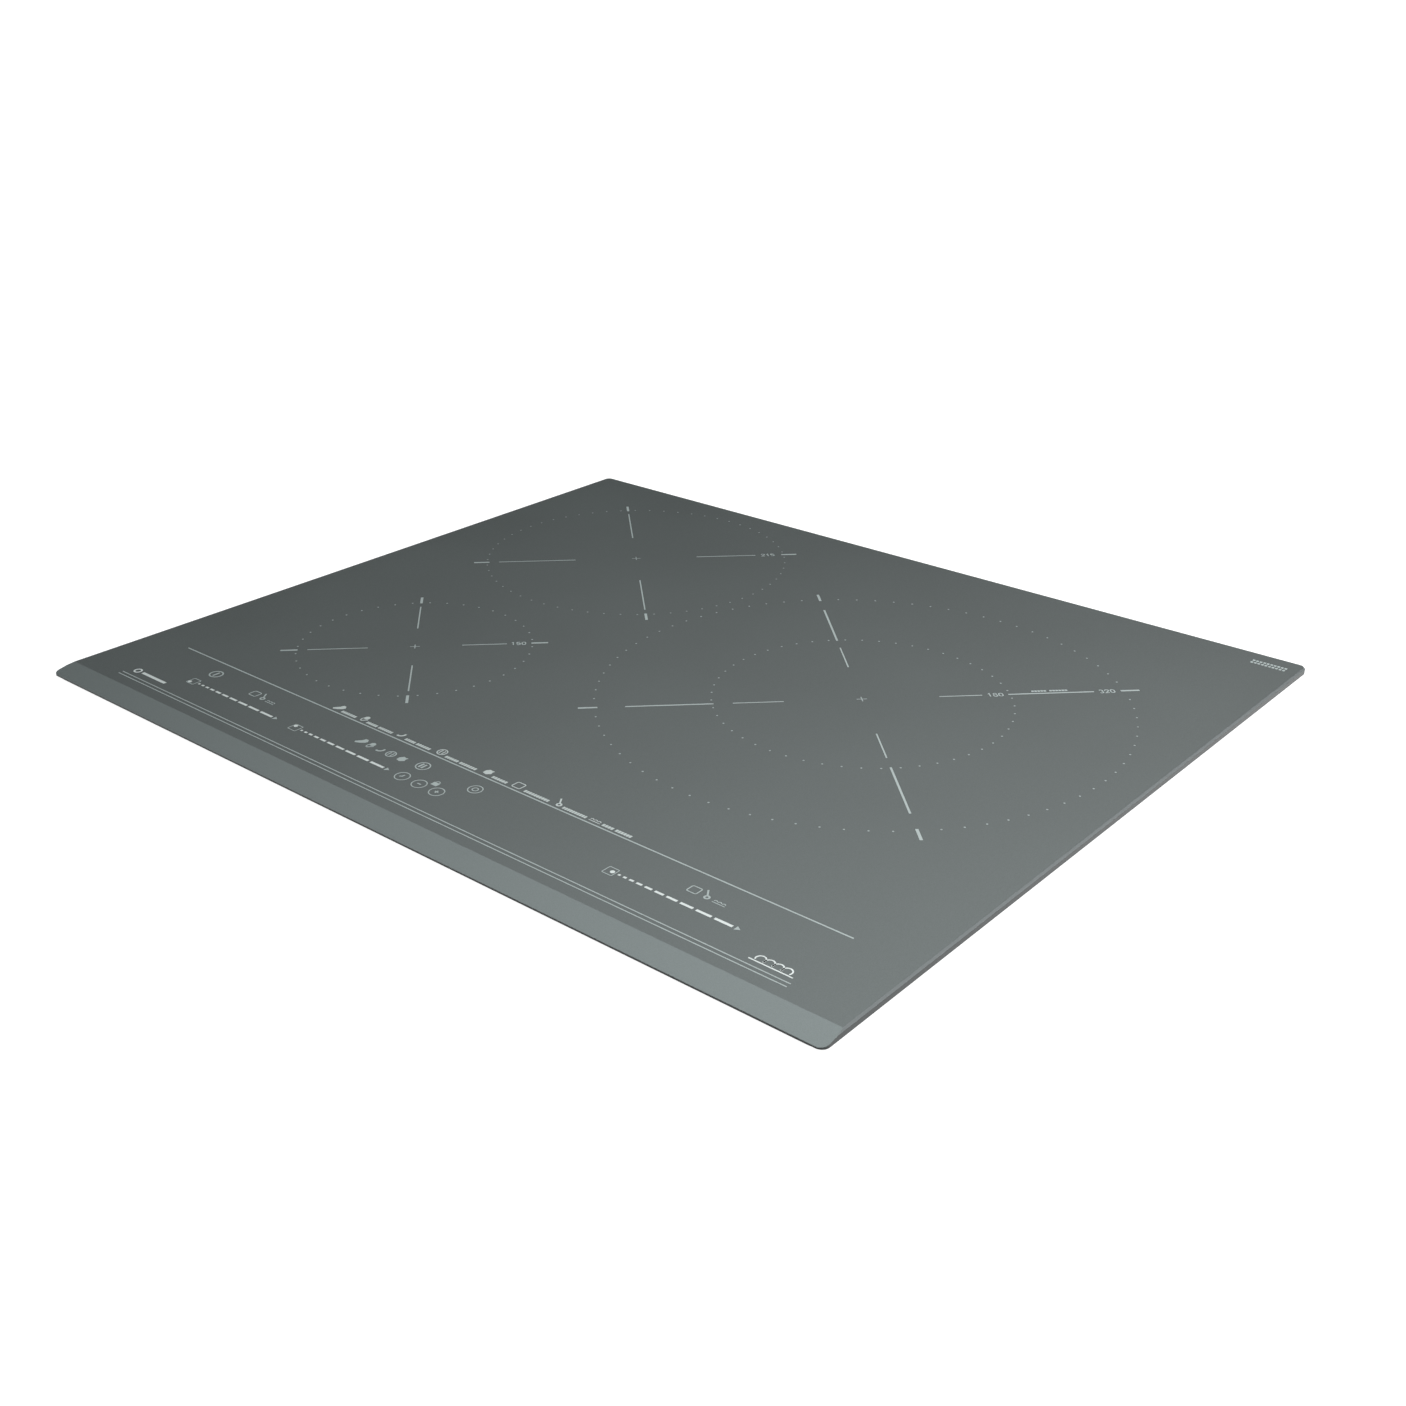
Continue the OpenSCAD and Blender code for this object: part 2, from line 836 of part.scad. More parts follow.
// A scroll that stands on the pan's floor, open below over the grille and at its outlet
module blower_housing(side) {
  at_blower(side) difference() {
    translate([0, 0, pan_floor]) linear_extrude(height = scroll_h) scroll_outline(0, 0);
    translate([0, 0, pan_floor - over]) linear_extrude(height = scroll_h + over - scroll_wall)
      scroll_outline(scroll_wall, over);
  }
}

module blower_wheel(side) {
  blade_in = wheel_r * blade_share;
  blade_len = (wheel_r - blade_in) * 0.98;
  blade_h = wheel_high - wheel_low - wheel_ring_t / 2;
  at_blower(side) {
    difference() {
      union() {
        disc(hub_r, hub_low, wheel_high);
        disc(wheel_r, wheel_high - wheel_ring_t, wheel_high);
      }
      disc(hub_r - hub_wall, hub_low + hub_wall, wheel_high + over);
      disc(shaft_r, hub_low - over, wheel_high);
    }
    difference() {
      disc(wheel_r, wheel_low, wheel_low + wheel_ring_t);
      disc(wheel_r - wheel_ring_w, wheel_low - over, wheel_low + wheel_ring_t + over);
    }
    for (i = [0 : blades - 1]) rotate([0, 0, i * 360 / blades])
      translate([blade_in, 0, wheel_low]) rotate([0, 0, blade_turn]) cube([blade_len, blade_t, blade_h]);
  }
}

module blower_shaft(side) {
  at_blower(side) disc(shaft_r, hub_low, scroll_top - scroll_wall - 0.5);
}

// The motor hangs from the scroll's roof inside the wheel's hub, on a bush round the shaft
module blower_motor(side) {
  roof = scroll_top - scroll_wall;
  stator_r = hub_r - hub_wall - motor_gap;
  at_blower(side) difference() {
    union() {
      disc(stator_r, hub_low + 4, wheel_high - 2);
      disc(motor_neck_r, hub_low + 2.5, roof);
    }
    disc(shaft_r + shaft_gap, hub_low, roof - 0.4);
    for (i = [0 : 3]) rotate([0, 0, i * 90])
      box_between([motor_neck_r + 2, -1, hub_low + 3], [hub_r + 3, 1, roof]);
  }
}

module blower_housing_left() { color(plastic_black) blower_housing(-1); }
module blower_housing_right() { color(plastic_black) blower_housing(1); }
module blower_wheel_left() { color(wheel_grey) blower_wheel(-1); }
module blower_wheel_right() { color(wheel_grey) blower_wheel(1); }
module blower_shaft_left() { color(steel) blower_shaft(-1); }
module blower_shaft_right() { color(steel) blower_shaft(1); }
module blower_motor_left() { color(copper) blower_motor(-1); }
module blower_motor_right() { color(copper) blower_motor(1); }

// ---------------------------------------------------------------- touch control

module touch_board() {
  margin = 2 * (holder_wall + 1);
  color(board_green) at_place([0, touch_y])
    slab(touch_w - margin, touch_d - margin, 2, touch_board_z, touch_board_z + touch_board_t);
}

// An open plastic trough on four legs, with a ledge that carries the board
module touch_board_holder() {
  inside_w = touch_w - 2 * holder_wall;
  inside_d = touch_d - 2 * holder_wall;
  well_w = touch_w - 2 * holder_ledge;
  well_d = touch_d - 2 * holder_ledge;
  color(plastic_black) at_place([0, touch_y]) {
    difference() {
      slab(touch_w, touch_d, 4, holder_z, glass_z - 0.3);
      slab(inside_w, inside_d, 3, touch_board_z, glass_z + over);
      slab(well_w, well_d, 3, holder_z + holder_floor_t, glass_z);
      box_between([-ribbon_slot_half, -4, holder_z - over], [ribbon_slot_half, 0, holder_z + 3]);
    }
    for (sx = [-1, 1], sy = [-1, 1])
      at_place([sx * (touch_w / 2 - 12), sy * (touch_d / 2 - 8)])
        disc(holder_leg_r, tray_top, holder_z + eps);
  }
}

// Contact springs between the board and the glass, as plain sleeves
module key_springs() {
  pitch = 1 / (slider_springs - 1);
  color(steel) at_place([0, touch_y]) {
    for (x = key_places) at_place([x, key_y]) sleeve(key_spring_r);
    for (x = low_key_places) at_place([x, slider_y]) sleeve(small_spring_r);
    for (s = slider_places, i = [0 : slider_springs - 1]) {
      span = s[1] - s[0] - 2 * slider_spring_inset;
      at_place([s[0] + slider_spring_inset + i * pitch * span, slider_y]) sleeve(small_spring_r);
    }
  }
}

module sleeve(r) {
  low = touch_board_z + touch_board_t;
  difference() {
    disc(r, low, glass_z);
    disc(r - spring_wall, low - over, glass_z + over);
  }
}

// From a plug at the power board's front edge, up through the coil tray, forwards over it and up
module ribbon_cable() {
  y0 = ribbon_y - ribbon_t;
  x1 = ribbon_end_x;
  board_y = touch_y - 1.7;
  low = tray_top + ribbon_t;
  color(ribbon_grey) {
    box_between([x1 - plug_half_x, plug_y - plug_half_y, board_top],
      [x1 + plug_half_x, plug_y + plug_half_y, ribbon_z + ribbon_h]);
    box_between([x1 - ribbon_t, y0, ribbon_z], [x1, plug_y, ribbon_z + ribbon_h]);
    box_between([-ribbon_half_w, y0, ribbon_z], [x1, ribbon_y, ribbon_z + ribbon_h]);
    box_between([-ribbon_half_w, y0, ribbon_z], [ribbon_half_w, ribbon_y, low + ribbon_t]);
    box_between([-ribbon_half_w, board_y - ribbon_t, low], [ribbon_half_w, ribbon_y, low + ribbon_t]);
    box_between([-ribbon_half_w, board_y - ribbon_t, low], [ribbon_half_w, board_y, touch_board_z]);
  }
}

// ---------------------------------------------------------------- mains connection

module gland_cut(y0, y1) {
  translate([box_x, y1, gland_z]) rotate([90, 0, 0]) cylinder(r = gland_r, h = y1 - y0);
}

// An ear for the cover's pin: round below, and carried from the box's wall above the lid's sweep
module hinge_ear(x) {
  wall_y = box_y0 + box_wall - hinge_y;
  translate([x - ear_t / 2, hinge_y, hinge_z]) {
    rotate([0, 90, 0]) cylinder(r = ear_r, h = ear_t);
    box_between([0, -ear_r, 0], [ear_t, ear_r, ear_h]);
    box_between([0, wall_y - eps, ear_arm_z], [ear_t, ear_r - eps, ear_h]);
  }
}

module terminal_box() {
  x0 = box_x - box_half_x;
  x1 = box_x + box_half_x;
  pin_span = 2 * (box_half_x - box_wall - 2);
  color(nylon_white) difference() {
    union() {
      difference() {
        box_between([x0, box_y0, pan_floor], [x1, box_y1, box_top]);
        box_between([x0 + box_wall, box_y0 + box_wall, pan_floor - over],
          [x1 - box_wall, box_y1 - box_wall, box_ceiling]);
      }
      for (sx = [-1, 1]) hinge_ear(box_x + sx * ear_x);
    }
    gland_cut(box_y1 - box_wall - over, box_y1 + over);
    translate([box_x, hinge_y, hinge_z]) rotate([0, 90, 0])
      cylinder(r = hinge_pin_r + hinge_gap, h = pin_span, center = true);
  }
}

// Five poles in a row, with a screw well over each, and two posts with the bar that holds the cable
module terminal_block() {
  low = box_ceiling - block_h;
  bar_top = cord_bar_z + cord_bar_t;
  post_xs = [box_x - cord_post_x, box_x + cord_post_x];
  color(nylon_white) {
    difference() {
      box_between([box_x - block_half_x, block_y0, low], [box_x + block_half_x, block_y1, box_ceiling]);
      for (i = [0 : poles - 1]) {
        x = box_x + (i - (poles - 1) / 2) * pole_pitch;
        at_place([x, pole_y]) disc(well_r, low - over, low + well_depth);
        translate([x, block_y1 + over, box_ceiling + entry_z]) rotate([90, 0, 0])
          cylinder(r = entry_r, h = entry_depth + over);
      }
    }
    for (x = post_xs) at_place([x, cord_post_y]) difference() {
      disc(cord_post_r, bar_top, box_ceiling);
      disc(cord_screw_r, cord_bar_z, cord_bar_z + cord_screw_depth);
    }
    difference() {
      box_between([box_x - cord_bar_half_x, cord_post_y - cord_bar_half_y, cord_bar_z],
        [box_x + cord_bar_half_x, cord_post_y + cord_bar_half_y, bar_top]);
      for (x = post_xs) at_place([x, cord_post_y]) disc(cord_screw_r, cord_bar_z - over, bar_top + over);
    }
  }
}

// A flat lid that closes the opening in the pan, on two arms whose pins run in the box's ears
module terminal_cover() {
  half_x = service_half_x - cover_gap;
  latch_y = service_y1 - 4;
  color(nylon_white) {
    box_between([box_x - half_x, hinge_y - 1.6, cover_low],
      [box_x + half_x, service_y1 - cover_gap, cover_top]);
    for (sx = [-1, 1]) {
      arm_x = box_x + sx * cover_arm_x;
      box_between([arm_x - cover_arm_half, hinge_y - 1.5, cover_top - eps],
        [arm_x + cover_arm_half, hinge_y + ear_r, hinge_z + 1]);
      translate([arm_x + sx / 2, hinge_y, hinge_z]) rotate([0, sx * 90, 0])
        cylinder(r = hinge_pin_r, h = cover_pin_len);
    }
    // Latch tongue at the free edge
    box_between([box_x - latch_half_x, latch_y, cover_top - eps],
      [box_x + latch_half_x, latch_y + latch_t, cover_low + latch_h]);
  }
}

module cable_gland() {
  y1 = pan_d / 2;
  color(plastic_black) translate([box_x, 0, gland_z]) rotate([-90, 0, 0]) difference() {
    union() {
      disc(gland_r, gland_inner_y, y1);
      disc(gland_flange_r, y1, y1 + gland_flange_t);
      disc(gland_flange_r - 1, gland_inner_y - gland_nut_t, gland_inner_y);
    }
    disc(gland_bore_r, gland_inner_y - gland_nut_t - over, y1 + gland_flange_t + over);
  }
}

// ---------------------------------------------------------------- clamp brackets

// Drawn for the right side: a flat bar that lies along -Y from its screw, with a turned-down tip
module clamp_bar() {
  t0 = clamp_top - clamp_t;
  difference() {
    union() {
      disc(clamp_half_w, t0, clamp_top);
      box_between([-clamp_half_w, -clamp_reach, t0], [clamp_half_w, 0, clamp_top]);
      box_between([-clamp_half_w, -clamp_reach, t0 - clamp_tip_drop],
        [clamp_half_w, -clamp_reach + clamp_t, t0 + eps]);
    }
    disc(clamp_screw_r + shaft_gap, t0 - over, clamp_top + over);
  }
}

module clamp(sx, sy) {
  color(steel) at_place([sx * clamp_x, sy * clamp_y]) clamp_bar();
}

module clamp_front_left() { clamp(-1, -1); }
module clamp_front_right() { clamp(1, -1); }
module clamp_rear_left() { clamp(-1, 1); }
module clamp_rear_right() { clamp(1, 1); }

glass_panel();
worktop_seal();
bond_bead();
bond_frame();
base_pan();
housing_screws();
coil_tray();
tray_posts();
carrier_springs();
coil_leads();
carrier_front_left();
winding_front_left();
ferrites_front_left();
insulator_front_left();
carrier_rear_left();
winding_rear_left();
ferrites_rear_left();
insulator_rear_left();
carrier_right();
winding_right_inner();
winding_right_outer();
ferrites_right();
insulator_right();
temperature_sensors();
sensor_cups();
board_tray_left();
power_board_left();
heat_sink_left();
transistors_left();
capacitors_left();
choke_left();
board_tray_right();
power_board_right();
heat_sink_right();
transistors_right();
capacitors_right();
choke_right();
filter_board();
filter_choke();
filter_capacitors();
blower_housing_left();
blower_wheel_left();
blower_shaft_left();
blower_motor_left();
blower_housing_right();
blower_wheel_right();
blower_shaft_right();
blower_motor_right();
touch_board();
touch_board_holder();
key_springs();
ribbon_cable();
terminal_box();
terminal_block();
terminal_cover();
cable_gland();
clamp_front_left();
clamp_front_right();
clamp_rear_left();
clamp_rear_right();
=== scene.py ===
"""Looks of a built-in induction cooktop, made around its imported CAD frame.

The printing on the glass, the materials, the light and the camera are made here. Lengths are in millimetres
until they reach Blender, which works in metres. Those of the camera, the light and the floor are in metres.
"""

import json
import math

import bpy
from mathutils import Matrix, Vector


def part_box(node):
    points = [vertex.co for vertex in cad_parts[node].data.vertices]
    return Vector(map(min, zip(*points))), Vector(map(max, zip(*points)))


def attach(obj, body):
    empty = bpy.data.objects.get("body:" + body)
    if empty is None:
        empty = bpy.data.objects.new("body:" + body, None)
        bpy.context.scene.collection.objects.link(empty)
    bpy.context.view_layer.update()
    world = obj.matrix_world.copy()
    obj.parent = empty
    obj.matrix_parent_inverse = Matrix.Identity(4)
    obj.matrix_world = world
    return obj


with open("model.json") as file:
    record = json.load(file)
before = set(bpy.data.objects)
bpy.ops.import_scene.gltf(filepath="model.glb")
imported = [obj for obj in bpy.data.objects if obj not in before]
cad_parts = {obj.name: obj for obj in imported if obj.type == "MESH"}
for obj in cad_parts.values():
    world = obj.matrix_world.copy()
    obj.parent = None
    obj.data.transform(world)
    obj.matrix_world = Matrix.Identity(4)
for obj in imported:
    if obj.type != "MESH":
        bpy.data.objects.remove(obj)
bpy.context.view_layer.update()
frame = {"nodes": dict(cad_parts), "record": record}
MM = 0.001
ROOT = "hob"

# ------------------------------------------------------------------ places, from the frame


def box_mm(node):
    """Lowest and highest corners of a CAD node, in millimetres."""
    low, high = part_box(node)
    return Vector(low) / MM, Vector(high) / MM


def centre_mm(node):
    """Middle of a CAD node's box, in millimetres."""
    low, high = box_mm(node)
    return (low + high) / 2


GLASS_LOW, GLASS_HIGH = box_mm("glass_panel")
GLASS_TOP = GLASS_HIGH.z
FRONT = GLASS_LOW.y
REAR = GLASS_HIGH.y
RIGHT = GLASS_HIGH.x
ZONE_FRONT_LEFT = centre_mm("insulator_front_left")
ZONE_REAR_LEFT = centre_mm("insulator_rear_left")
ZONE_RIGHT = centre_mm("insulator_right")

# ------------------------------------------------------------------ camera, light and floor

CAMERA_PLACE = (0.6241, -0.7395, 0.4365)
CAMERA_TILT = 64.79
CAMERA_TURN = 40.73
CAMERA_LENS = 43.58
CAMERA_SHIFT = 0.0267


def make_camera():
    """The camera, at its own place in metres, with its tilt and turn in degrees."""
    data = bpy.data.cameras.new("camera")
    data.lens = CAMERA_LENS
    data.sensor_width = 36
    data.shift_x = CAMERA_SHIFT
    data.clip_end = 100
    camera = bpy.data.objects.new("camera", data)
    bpy.context.collection.objects.link(camera)
    camera.location = CAMERA_PLACE
    camera.rotation_euler = (math.radians(CAMERA_TILT), 0, math.radians(CAMERA_TURN))
    bpy.context.scene.camera = camera


KEY_PLACE = (0.78, 0.04, 0.92)
KEY_SIZE = 0.5
KEY_WATTS = 18.8


def make_area_light(name, place, target, size, watts):
    """A square light that shines from its place towards a target, both in metres."""
    data = bpy.data.lights.new(name, "AREA")
    data.shape = "SQUARE"
    data.size = size
    data.energy = watts
    light = bpy.data.objects.new(name, data)
    bpy.context.collection.objects.link(light)
    light.location = place
    aim = Vector(target) - Vector(place)
    light.rotation_euler = aim.to_track_quat("-Z", "Y").to_euler()


# Brightness of the sky by height, from 0 straight down through 0.5 at the horizon to 1 overhead. The first is
# what glossy surfaces mirror, the second is the light from all round. The half below the horizon only reaches
# what hangs under the worktop.
HORIZON = 0.5
MIRRORED_SKY = ((0.49, 0.8), (HORIZON, 0.02), (0.725, 0.10), (0.765, 0.75), (0.81, 1.15), (0.925, 4.2))
EVEN_SKY = ((0.49, 0.8), (HORIZON, 0.02))
MIRRORED_RED = 0.84


def sky(tree, height, stops, red=1.0):
    """A background whose brightness follows the height on the sky; above the horizon its red is scaled."""
    peak = max(brightness for _, brightness in stops)
    ramp = tree.nodes.new("ShaderNodeValToRGB")
    elements = ramp.color_ramp.elements
    while len(elements) < len(stops):
        elements.new(0.5)
    for element, (position, brightness) in zip(elements, stops):
        level = brightness / peak
        element.position = position
        element.color = (level * (red if position > HORIZON else 1), level, level, 1)
    background = tree.nodes.new("ShaderNodeBackground")
    background.inputs["Strength"].default_value = peak
    tree.links.new(height, ramp.inputs["Fac"])
    tree.links.new(ramp.outputs["Color"], background.inputs["Color"])
    return background.outputs[0]


def make_world():
    """White behind the object, a sky that brightens upwards in its reflections, and a little even light."""
    world = bpy.data.worlds.new("studio")
    bpy.context.scene.world = world
    world.use_nodes = True
    tree = world.node_tree
    tree.nodes.clear()
    link = tree.links.new
    coords = tree.nodes.new("ShaderNodeTexCoord")
    split = tree.nodes.new("ShaderNodeSeparateXYZ")
    height = tree.nodes.new("ShaderNodeMapRange")
    height.inputs["From Min"].default_value = -1
    link(coords.outputs["Generated"], split.inputs[0])
    link(split.outputs["Z"], height.inputs["Value"])
    white = tree.nodes.new("ShaderNodeBackground")
    white.inputs["Color"].default_value = (1, 1, 1, 1)
    path = tree.nodes.new("ShaderNodeLightPath")
    shader = sky(tree, height.outputs["Result"], EVEN_SKY)
    mirrored = sky(tree, height.outputs["Result"], MIRRORED_SKY, MIRRORED_RED)
    for ray, seen in (("Is Glossy Ray", mirrored), ("Is Camera Ray", white.outputs[0])):
        mix = tree.nodes.new("ShaderNodeMixShader")
        link(path.outputs[ray], mix.inputs["Fac"])
        link(shader, mix.inputs[1])
        link(seen, mix.inputs[2])
        shader = mix.outputs[0]
    out = tree.nodes.new("ShaderNodeOutputWorld")
    link(shader, out.inputs["Surface"])


# The worktop's cut-out and the floor's reach, in metres
CUTOUT_HALF = (0.280, 0.245)
FLOOR_HALF = 30.0
FLOOR_GLOW = 1.0


def make_floor():
    """A plain pale worktop at the seal's underside, with the cut-out that the housing hangs through."""
    inner = [(-1, -1), (1, -1), (1, 1), (-1, 1)]
    verts = [(x * CUTOUT_HALF[0], y * CUTOUT_HALF[1], 0) for x, y in inner]
    verts += [(x * FLOOR_HALF, y * FLOOR_HALF, 0) for x, y in inner]
    faces = [(i, i + 4, (i + 1) % 4 + 4, (i + 1) % 4) for i in range(4)]
    mesh = bpy.data.meshes.new("floor")
    mesh.from_pydata(verts, [], faces)
    floor = bpy.data.objects.new("floor", mesh)
    bpy.context.collection.objects.link(floor)
    material = bpy.data.materials.new("floor")
    material.use_nodes = True
    shader = material.node_tree.nodes["Principled BSDF"]
    shader.inputs["Base Color"].default_value = (0.2, 0.2, 0.2, 1)
    shader.inputs["Roughness"].default_value = 0.9
    shader.inputs["Emission Color"].default_value = (1, 1, 1, 1)
    shader.inputs["Emission Strength"].default_value = FLOOR_GLOW
    mesh.materials.append(material)


# ------------------------------------------------------------------ materials


class Nodes:
    """A material under construction: its tree, its shader, and short ways to add nodes."""

    def __init__(self, name):
        self.material = bpy.data.materials.new(name)
        self.material.use_nodes = True
        self.tree = self.material.node_tree
        self.shader = self.tree.nodes["Principled BSDF"]
        self.coords = self.tree.nodes.new("ShaderNodeTexCoord").outputs["Object"]

    def add(self, kind, **inputs):
        node = self.tree.nodes.new("ShaderNode" + kind)
        for key, value in inputs.items():
            node.inputs[key.replace("_", " ")].default_value = value
        return node

    def link(self, source, target):
        self.tree.links.new(source, target)

    def set(self, **inputs):
        for key, value in inputs.items():
            self.shader.inputs[key.replace("_", " ")].default_value = value

    def noise(self, scale, detail=3.0, coords=None):
        node = self.add("TexNoise", Scale=scale, Detail=detail)
        self.link(coords or self.coords, node.inputs["Vector"])
        return node.outputs["Fac"]

    def stretched(self, x, y, z):
        node = self.add("Mapping")
        node.inputs["Scale"].default_value = (x, y, z)
        self.link(self.coords, node.inputs["Vector"])
        return node.outputs["Vector"]

    def ramp(self, value, stops):
        node = self.add("ValToRGB")
        elements = node.color_ramp.elements
        while len(elements) < len(stops):
            elements.new(0.5)
        for element, (position, colour) in zip(elements, stops):
            element.position = position
            element.color = (*colour, 1)
        self.link(value, node.inputs["Fac"])
        return node.outputs["Color"]

    def colour(self, value, stops):
        self.link(self.ramp(value, stops), self.shader.inputs["Base Color"])

    def range(self, value, low, high, socket="Roughness"):
        node = self.add("MapRange")
        node.inputs["To Min"].default_value = low
        node.inputs["To Max"].default_value = high
        self.link(value, node.inputs["Value"])
        self.link(node.outputs["Result"], self.shader.inputs[socket])

    def bump(self, height, strength, depth_mm):
        node = self.add("Bump", Strength=strength, Distance=depth_mm * MM)
        self.link(height, node.inputs["Height"])
        self.link(node.outputs["Normal"], self.shader.inputs["Normal"])


def shades(colour, spread):
    """A darker and a lighter version of a colour, for the two ends of a ramp."""
    dark = tuple(c * (1 - spread) for c in colour)
    light = tuple(min(1, c * (1 + spread)) for c in colour)
    return [(0.3, dark), (0.7, light)]


# Darker colour of the upright cut edge: partly the edge's own tone, partly painted shade
CUT_EDGE_TONE_AND_SHADE = (0.05, 0.055, 0.055, 1)
# Painted highlight: a lighter colour for the chamfers that slope at about 45 degrees
CHAMFER_HIGHLIGHT = (0.135, 0.147, 0.149, 1)


def glass_material():
    """Satin grey glass. Its upright cut edge is darker and duller: a darker colour on upright faces, partly
    the edge's own tone and partly painted shade. Its chamfers that slope at about 45 degrees are lighter, a
    painted highlight.
    """
    n = Nodes("stone_grey_glass")
    black, white = (0, 0, 0), (1, 1, 1)
    grey = n.ramp(n.noise(2600, 2), [(0.35, (0.096, 0.104, 0.103)), (0.65, (0.112, 0.122, 0.121))])
    facing = n.add("SeparateXYZ")
    n.link(n.add("NewGeometry").outputs["Normal"], facing.inputs[0])
    # 0 on upright faces, 1 on every face that looks up
    upward = n.add("MapRange")
    upward.inputs["From Min"].default_value = 0.25
    upward.inputs["From Max"].default_value = 0.6
    n.link(facing.outputs["Z"], upward.inputs["Value"])
    # Upright faces take the darker colour: partly the edge's own tone, partly painted shade
    edge_tone_and_shade = n.add("MixRGB", Color1=CUT_EDGE_TONE_AND_SHADE)
    n.link(upward.outputs["Result"], edge_tone_and_shade.inputs["Fac"])
    n.link(grey, edge_tone_and_shade.inputs["Color2"])
    # 1 only on faces that slope at about 45 degrees, where the lighter colour is a painted highlight
    sloping = n.ramp(facing.outputs["Z"], [(0.5, black), (0.6, white), (0.85, white), (0.93, black)])
    # Painted highlight on the 45-degree chamfers
    chamfer_highlight = n.add("MixRGB", Color2=CHAMFER_HIGHLIGHT)
    n.link(sloping, chamfer_highlight.inputs["Fac"])
    n.link(edge_tone_and_shade.outputs["Color"], chamfer_highlight.inputs["Color1"])
    n.link(chamfer_highlight.outputs["Color"], n.shader.inputs["Base Color"])
    n.range(upward.outputs["Result"], 0.15, 0.5, "Specular IOR Level")
    n.range(n.noise(9, 2), 0.2, 0.26)
    n.bump(n.noise(14, 2), 0.03, 0.02)
    n.set(IOR=1.5)
    return n.material


def print_material(name, colour):
    n = Nodes(name)
    n.colour(n.noise(1800, 2), shades(colour, 0.06))
    n.range(n.noise(700, 2), 0.42, 0.55)
    return n.material


def plastic_material(name, colour, roughness, grain=1500, depth=0.02):
    n = Nodes(name)
    n.colour(n.noise(60, 4), shades(colour, 0.08))
    n.range(n.noise(220, 3), roughness - 0.06, roughness + 0.06)
    n.bump(n.noise(grain, 3), 0.4, depth)
    return n.material


def brushed_material(name, colour, roughness, direction=(1, 40, 40)):
    n = Nodes(name)
    grain = n.noise(60, 4, n.stretched(*direction))
    n.colour(grain, shades(colour, 0.1))
    n.range(grain, roughness - 0.08, roughness + 0.1)
    n.bump(grain, 0.15, 0.02)
    n.set(Metallic=1.0)
    return n.material


def galvanised_material():
    """Zinc spangles: flat crystal cells of slightly different brightness."""
    n = Nodes("galvanised_sheet")
    cells = n.add("TexVoronoi", Scale=110)
    n.link(n.coords, cells.inputs["Vector"])
    n.colour(cells.outputs["Color"], [(0.2, (0.52, 0.54, 0.56)), (0.8, (0.65, 0.67, 0.69))])
    n.range(cells.outputs["Color"], 0.3, 0.5)
    n.bump(cells.outputs["Distance"], 0.06, 0.02)
    n.set(Metallic=0.9)
    return n.material


def foam_material():
    n = Nodes("foam")
    pores = n.add("TexVoronoi", Scale=1400)
    n.link(n.coords, pores.inputs["Vector"])
    n.colour(pores.outputs["Distance"], [(0.1, (0.008, 0.008, 0.009)), (0.7, (0.03, 0.03, 0.032))])
    n.bump(pores.outputs["Distance"], 0.8, 0.15)
    n.set(Roughness=0.95)
    return n.material


def litz_material(name, colour):
    """Twisted enamelled strands."""
    n = Nodes(name)
    wave = n.add("TexWave", Scale=380, Distortion=2.5)
    n.link(n.coords, wave.inputs["Vector"])
    n.colour(wave.outputs["Fac"], shades(colour, 0.35))
    n.bump(wave.outputs["Fac"], 0.5, 0.1)
    n.set(Metallic=0.85, Roughness=0.38)
    return n.material


def board_material():
    """Green solder resist with lighter tracks under it."""
    n = Nodes("circuit_board")
    tracks = n.add("TexBrick", Scale=70)
    tracks.inputs["Color1"].default_value = (0.018, 0.11, 0.045, 1)
    tracks.inputs["Color2"].default_value = (0.022, 0.13, 0.055, 1)
    tracks.inputs["Mortar"].default_value = (0.05, 0.24, 0.10, 1)
    tracks.inputs["Mortar Size"].default_value = 0.03
    n.link(n.coords, tracks.inputs["Vector"])
    n.link(tracks.outputs["Color"], n.shader.inputs["Base Color"])
    n.range(n.noise(300, 2), 0.28, 0.4)
    n.bump(tracks.outputs["Fac"], 0.3, 0.04)
    return n.material


def ribbon_material():
    """Flat cable: parallel cores side by side."""
    n = Nodes("flat_cable")
    wave = n.add("TexWave", Scale=250)
    n.link(n.coords, wave.inputs["Vector"])
    n.colour(wave.outputs["Fac"], [(0.2, (0.32, 0.33, 0.35)), (0.8, (0.55, 0.56, 0.58))])
    n.bump(wave.outputs["Fac"], 0.6, 0.2)
    n.set(Roughness=0.4)
    return n.material


